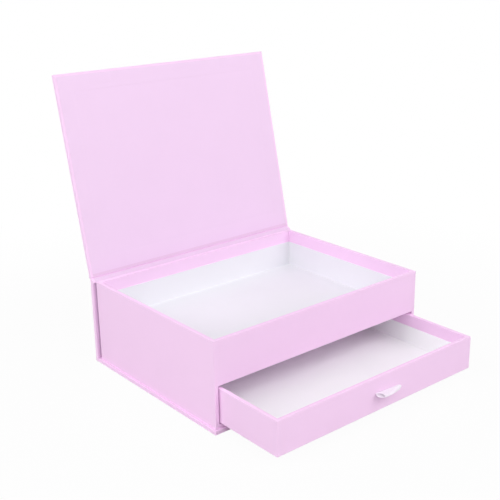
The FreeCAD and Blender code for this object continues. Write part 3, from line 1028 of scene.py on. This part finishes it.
class GIFTBOX_OT_stage(BoxOperator, bpy.types.Operator):
    """Floor, studio light and camera"""

    bl_idname = "gift_box.stage"
    bl_label = "Stage"

    def execute(self, context):
        studio = context.scene.gift_box_studio
        self.add_floor(studio)
        self.light_sky(studio)
        # name, turn, rise, size in metres and power of each lamp
        lamps = [("front_light", -30, 35, 1.6, studio.front),
                 ("front_left_light", 30, 35, 1.6, studio.front_left),
                 ("side_light", 100, 35, 1.8, studio.side),
                 ("top_light", 0, 60, 1.6, studio.top),
                 ("right_light", -95, 12, 1.0, studio.right),
                 ("back_light", 180, 15, 1.2, studio.back)]
        for lamp in lamps:
            self.add_lamp(*lamp)
        self.add_camera()
        context.scene.view_settings.view_transform = "Standard"
        return {"FINISHED"}

    def add_floor(self, studio):
        """A floor that looks white, with a faint shadow near the box and none far from it."""
        floor_size, below_box = 12.0, 0.02 * MM
        deselect_all()
        bpy.ops.mesh.primitive_plane_add(size=floor_size, location=(0, 0, -below_box))
        apply_transform()
        floor = bpy.context.object
        floor.name = "floor"
        shader = Shader(bpy.data.materials.new("floor_paint"))
        seen = self.seen(shader)
        place = shader.place()
        across, along = shader.axes(place)[:2]
        near, far = 0.18, 0.5
        away = shader.ramp((across ** 2 + along ** 2) ** 0.5, near, far)
        cloud_scale = 3.0
        tone = shader.noise(place, cloud_scale, 2.0, 0.5)
        paint = shader.node("ShaderNodeBsdfDiffuse", inputs={0: shader.mix(
            tone, colour(studio.floor_colour, 0.995), colour(studio.floor_colour))})[0]
        glow = shader.node("ShaderNodeEmission", inputs={0: (1, 1, 1, 1), 1: 1.0})[0]
        glow_near, glow_gain = 0.955, 0.045
        surface = shader.node("ShaderNodeMixShader", inputs={
            0: seen * (glow_near + away * glow_gain), 1: paint, 2: glow})[0]
        shader.node("ShaderNodeOutputMaterial", inputs={0: surface})
        floor.data.materials.append(shader.owner)

    def seen(self, shader):
        """1 where the camera, a reflection or clear material sees the surface."""
        path = {wire.socket.name: wire for wire in shader.node("ShaderNodeLightPath")}
        return (path["Is Camera Ray"] + path["Is Glossy Ray"]
                + path["Is Transmission Ray"]).at_most(1.0)

    def light_sky(self, studio):
        """A sky that looks white and gives a weaker light."""
        world = bpy.data.worlds.new("studio_sky")
        shader = Shader(world)
        strength = studio.sky + self.seen(shader) * (1.0 - studio.sky)
        sky = shader.node("ShaderNodeBackground", inputs={0: (1, 1, 1, 1), 1: strength})[0]
        shader.node("ShaderNodeOutputWorld", inputs={0: sky})
        bpy.context.scene.world = world

    def add_lamp(self, name, turn, rise, size, power):
        """A square soft light. turn goes from the front to the left and rise upwards, in degrees."""
        distance, aim = 2.4, Vector((0, 0, 0.05))
        turn, rise = math.radians(turn), math.radians(rise)
        towards = Vector((-math.sin(turn) * math.cos(rise), -math.cos(turn) * math.cos(rise),
                          math.sin(rise)))
        deselect_all()
        bpy.ops.object.light_add(type="AREA", location=aim + distance * towards)
        lamp = bpy.context.object
        lamp.name = name
        lamp.data.size = size
        lamp.data.energy = power
        lamp.rotation_euler = towards.to_track_quat("Z", "Y").to_euler()

    def add_camera(self):
        """The camera, from its place, its direction and its roll."""
        place = (-460.47 * MM, -551.6 * MM, 341.5 * MM)
        lens, sensor_width = 65.8, 36.0
        azimuth, elevation, roll = (math.radians(angle) for angle in (-39.393, 18.801, -0.944))
        forward = Vector((-math.sin(azimuth) * math.cos(elevation),
                          math.cos(azimuth) * math.cos(elevation), -math.sin(elevation)))
        right = Vector((math.cos(azimuth), math.sin(azimuth), 0.0))
        up = right.cross(forward)
        across = right * math.cos(roll) + up * math.sin(roll)
        upward = up * math.cos(roll) - right * math.sin(roll)
        deselect_all()
        bpy.ops.object.camera_add(location=place)
        camera = bpy.context.object
        camera.name = "camera"
        camera.rotation_euler = Matrix((across, upward, -forward)).transposed().to_euler()
        camera.data.sensor_width = sensor_width
        camera.data.lens = lens
        bpy.context.scene.camera = camera


class GIFTBOX_PT_panel(bpy.types.Panel):
    """Pieces of the gift box, in the order that they are added"""

    bl_label = "Gift box"
    bl_idname = "GIFTBOX_PT_panel"
    bl_space_type = "VIEW_3D"
    bl_region_type = "UI"
    bl_category = "Gift box"

    def draw(self, context):
        for operator in OPERATORS:
            self.layout.operator(operator.bl_idname)
        for settings in (context.scene.gift_box_paper, context.scene.gift_box_ribbon,
                         context.scene.gift_box_studio):
            column = self.layout.column()
            for name in settings.__annotations__:
                column.prop(settings, name)


SETTINGS = {"gift_box_paper": PaperProperties, "gift_box_ribbon": RibbonProperties,
            "gift_box_studio": StudioProperties}
OPERATORS = (GIFTBOX_OT_body_wrap, GIFTBOX_OT_base_wrap, GIFTBOX_OT_tray_lining, GIFTBOX_OT_spine,
             GIFTBOX_OT_lid, GIFTBOX_OT_drawer, GIFTBOX_OT_ribbon, GIFTBOX_OT_boards,
             GIFTBOX_OT_stage)


def register():
    for settings in SETTINGS.values():
        bpy.utils.register_class(settings)
    for name, settings in SETTINGS.items():
        setattr(bpy.types.Scene, name, PointerProperty(type=settings))
    for operator in OPERATORS:
        bpy.utils.register_class(operator)
    bpy.utils.register_class(GIFTBOX_PT_panel)


def unregister():
    bpy.utils.unregister_class(GIFTBOX_PT_panel)
    for operator in reversed(OPERATORS):
        bpy.utils.unregister_class(operator)
    for name, settings in SETTINGS.items():
        delattr(bpy.types.Scene, name)
        bpy.utils.unregister_class(settings)


def main():
    register()
    for operator in OPERATORS:
        group, name = operator.bl_idname.split(".")
        getattr(getattr(bpy.ops, group), name)()


if __name__ == "__main__":
    main()
